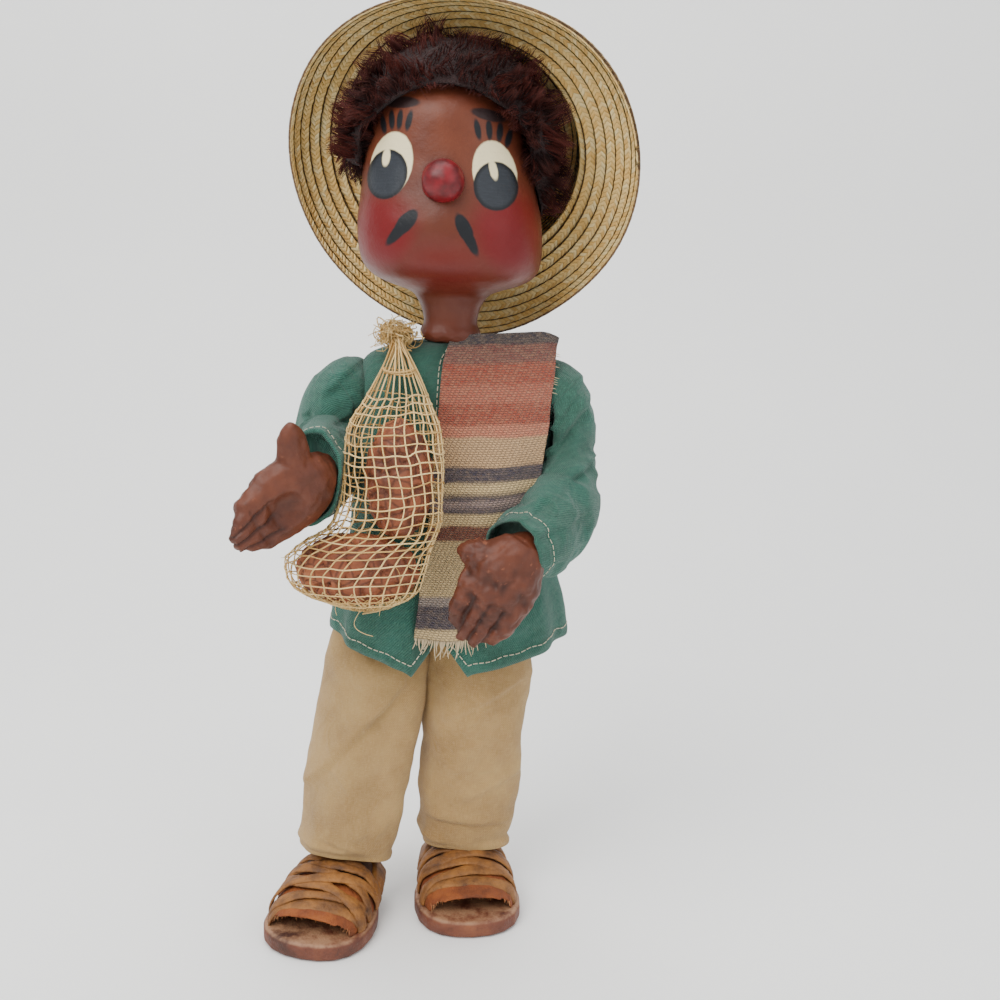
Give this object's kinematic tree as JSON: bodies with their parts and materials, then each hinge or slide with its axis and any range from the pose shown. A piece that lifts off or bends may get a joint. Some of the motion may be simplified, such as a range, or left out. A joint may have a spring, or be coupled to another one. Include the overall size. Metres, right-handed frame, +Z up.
{
  "type": "folk doll",
  "caption": "Cloth folk doll in shirt, trousers, sandals, serape and straw hat, with moulded head and hands and a net bag, turning at neck, shoulders, elbows and hips.",
  "frame": {"origin": "middle of the doll's box, at the bottom of the sandals' soles", "axes": "+Z up, -Y the way the doll faces, +X towards the doll's own left, where the serape hangs"},
  "size_m": [0.1532, 0.1362, 0.4027],
  "materials": {
    "composition": "glossy moulded and painted, warm brown",
    "nose_red": "glossy dark red paint",
    "fur": "short dark fur, matt",
    "straw": "sewn flat palm braid, satin",
    "shirt_cloth": "plain cotton, matt",
    "serape_wool": "ribbed hand-woven wool, matt",
    "cream_cotton": "plain cotton, matt",
    "stuffing": "loose fibre, matt",
    "dowel_wood": "bare turned wood",
    "core_wire": "drawn wire",
    "net_cord": "twisted plant fibre, matt",
    "wares_skin": "wrinkled brown, matt",
    "sole_leather": "stacked thick hide, worn",
    "strap_leather": "thin hide, waxed and worn"
  },
  "bodies": {
    "torso": {"torso_stuffing": "stuffing", "shirt_body": "shirt_cloth", "neck_dowel": "dowel_wood", "shoulder_wire": "core_wire", "serape": "serape_wool", "trousers_seat": "cream_cotton"},
    "head": {"head_shell": "composition", "nose_bead": "nose_red", "fur_wig": "fur", "straw_hat": "straw"},
    "right_leg": {"right_trouser_leg": "cream_cotton", "right_leg_stuffing": "stuffing", "right_sole": "sole_leather", "right_foot": "stuffing", "right_vamp": "strap_leather", "right_toe_strap": "strap_leather", "right_instep_strap": "strap_leather", "right_ankle_strap": "strap_leather"},
    "left_leg": {"left_trouser_leg": "cream_cotton", "left_leg_stuffing": "stuffing", "left_sole": "sole_leather", "left_foot": "stuffing", "left_vamp": "strap_leather", "left_toe_strap": "strap_leather", "left_instep_strap": "strap_leather", "left_ankle_strap": "strap_leather"},
    "right_arm": {"right_upper_sleeve": "shirt_cloth"},
    "left_arm": {"left_upper_sleeve": "shirt_cloth"},
    "right_forearm": {"right_lower_sleeve": "shirt_cloth", "right_forearm_stuffing": "stuffing", "right_hand": "composition"},
    "left_forearm": {"left_lower_sleeve": "shirt_cloth", "left_forearm_stuffing": "stuffing", "left_hand": "composition"},
    "bag": {"net_bag": "net_cord", "upper_wares": "wares_skin", "lower_wares": "wares_skin", "bag_tie": "net_cord", "bag_knot": "net_cord"}
  },
  "joints": [
    {"name": "head_turn", "type": "hinge", "parent": "torso", "child": "head", "pos_m": [0.00194, 0.00314, 0.258], "axis": [0, 0, 1], "range_deg": [-30, 30]},
    {"name": "right_shoulder_swing", "type": "hinge", "parent": "torso", "child": "right_arm", "pos_m": [-0.04766, 0.01014, 0.24], "axis": [-1, 0, 0], "range_deg": [0, 50]},
    {"name": "left_shoulder_swing", "type": "hinge", "parent": "torso", "child": "left_arm", "pos_m": [0.05254, 0.01014, 0.24], "axis": [-1, 0, 0], "range_deg": [0, 50]},
    {"name": "right_elbow_bend", "type": "hinge", "parent": "right_arm", "child": "right_forearm", "pos_m": [-0.04566, 0.00814, 0.211], "axis": [-1, 0, 0], "range_deg": [0, 25]},
    {"name": "left_elbow_swing", "type": "hinge", "parent": "left_arm", "child": "left_forearm", "pos_m": [0.05554, 0.00014, 0.18], "axis": [0, 0, 1], "range_deg": [0, 35]},
    {"name": "right_hip_swing", "type": "hinge", "parent": "torso", "child": "right_leg", "pos_m": [-0.02356, 0.01014, 0.133], "axis": [-1, 0, 0], "range_deg": [-15, 14]},
    {"name": "left_hip_swing", "type": "hinge", "parent": "torso", "child": "left_leg", "pos_m": [0.01944, 0.01014, 0.133], "axis": [-1, 0, 0], "range_deg": [-13, 22]},
    {"name": "bag_swing", "type": "hinge", "parent": "torso", "child": "bag", "pos_m": [-0.01806, -0.00386, 0.259], "axis": [-1, 0, 0], "range_deg": [0, 5]}
  ]
}
